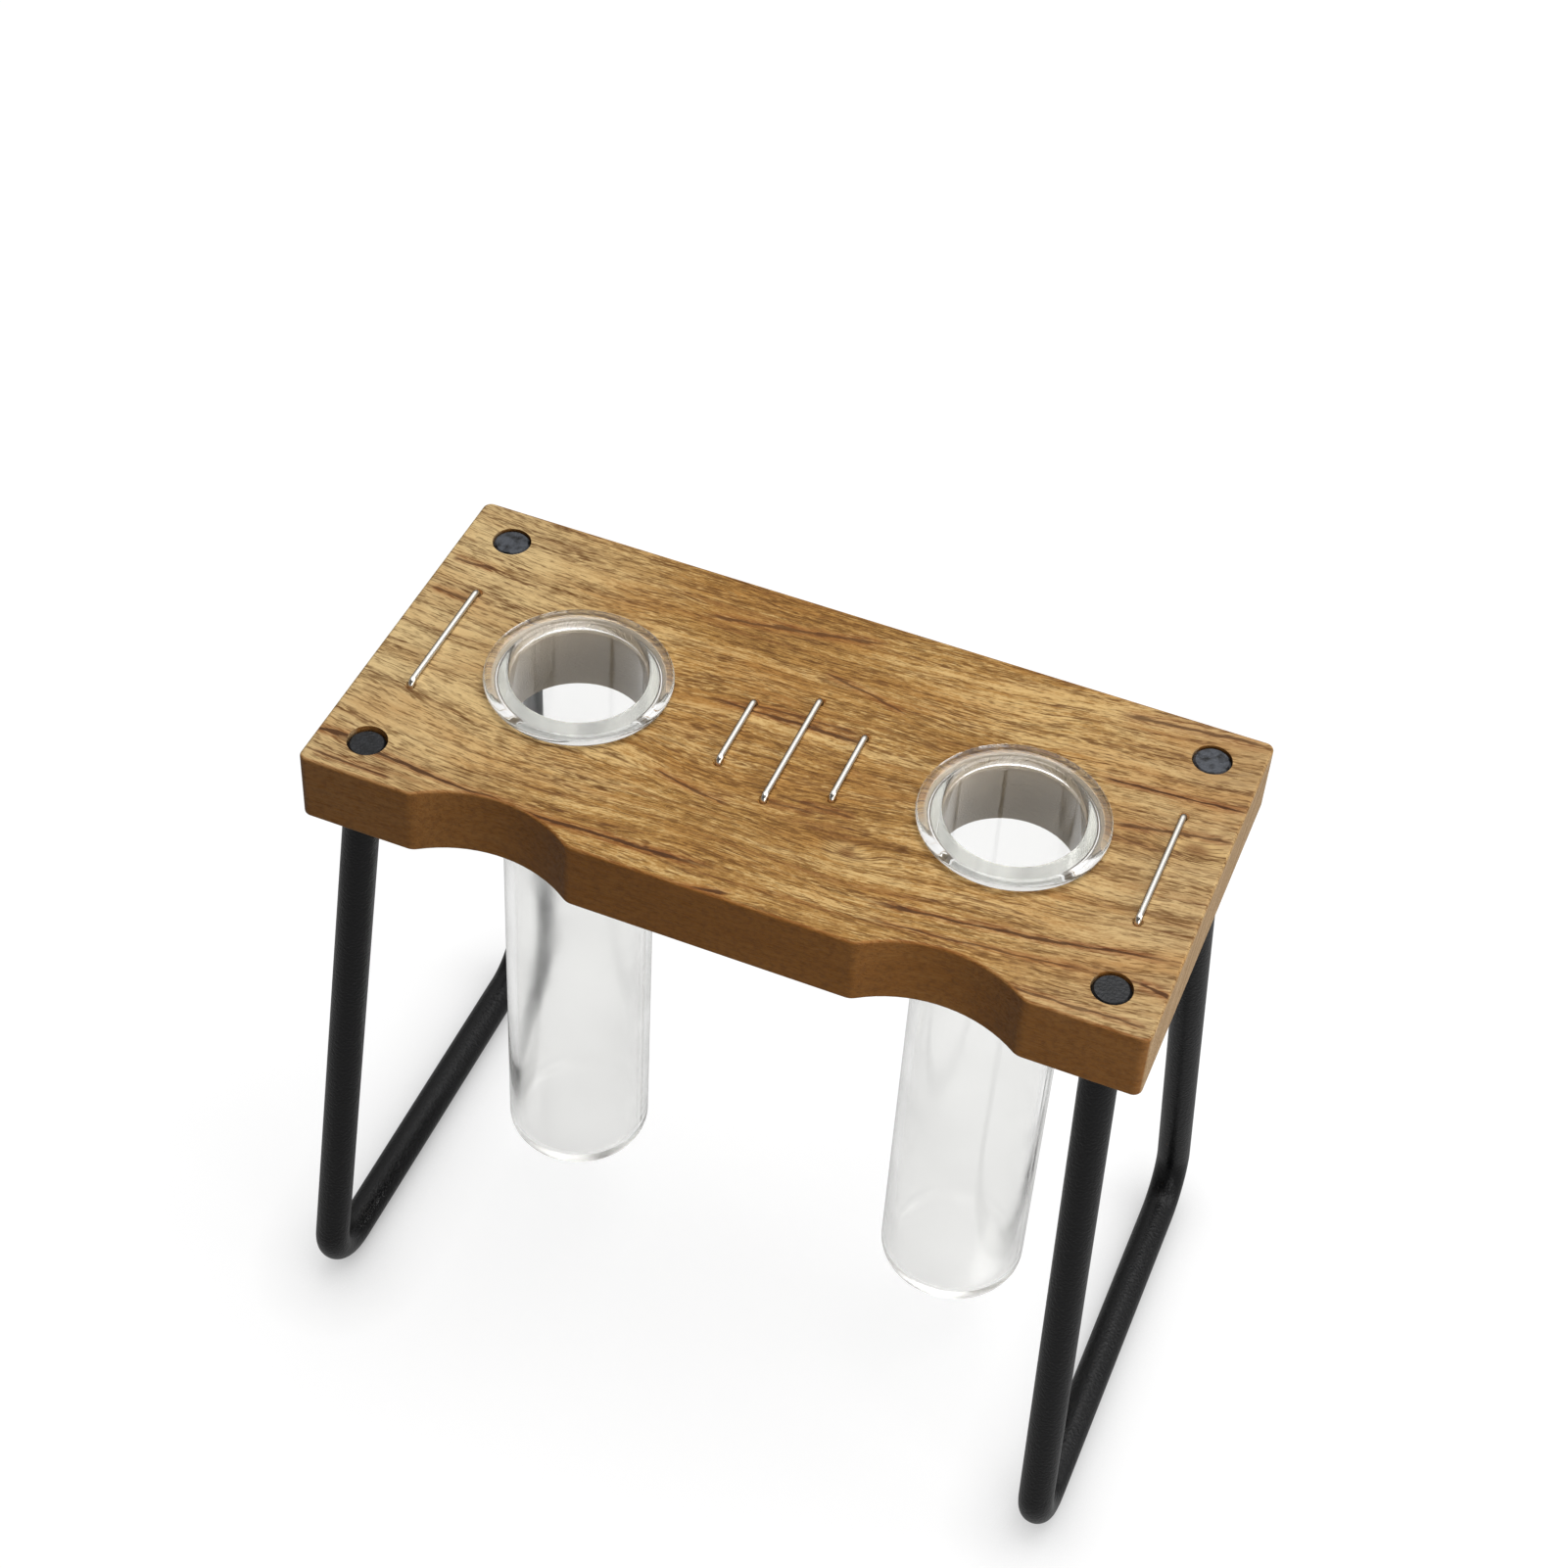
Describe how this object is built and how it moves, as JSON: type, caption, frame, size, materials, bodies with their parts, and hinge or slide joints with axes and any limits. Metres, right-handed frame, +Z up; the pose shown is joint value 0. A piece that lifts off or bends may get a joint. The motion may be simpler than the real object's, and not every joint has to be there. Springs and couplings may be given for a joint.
{
  "type": "test tube vase",
  "caption": "Scalloped wooden board on bent rod legs, holding glass test tubes by their lips as bud vases, with wire staples across its top.",
  "frame": {"origin": "on the floor, under the middle of the board", "axes": "+X along the board, -Y towards its scalloped front edge, +Z up"},
  "size_m": [0.1526, 0.093, 0.1394],
  "materials": {
    "board": "oiled hardwood, open grain",
    "rod": "matt black powder coat",
    "tube": "clear, fire polished",
    "staple": "polished wire"
  },
  "bodies": {
    "stand": {"board": "board", "leg_left": "rod", "leg_right": "rod", "staple_left_end": "staple", "staple_left_inner": "staple", "staple_centre": "staple", "staple_right_inner": "staple", "staple_right_end": "staple"},
    "left_tube": {"tube_left": "tube"},
    "right_tube": {"tube_right": "tube"}
  },
  "joints": [
    {"name": "left_tube_lift", "type": "slide", "parent": "stand", "child": "left_tube", "axis": [0, 0, 1], "range_m": [0, 0.13]},
    {"name": "right_tube_lift", "type": "slide", "parent": "stand", "child": "right_tube", "axis": [0, 0, 1], "range_m": [0, 0.13]}
  ]
}
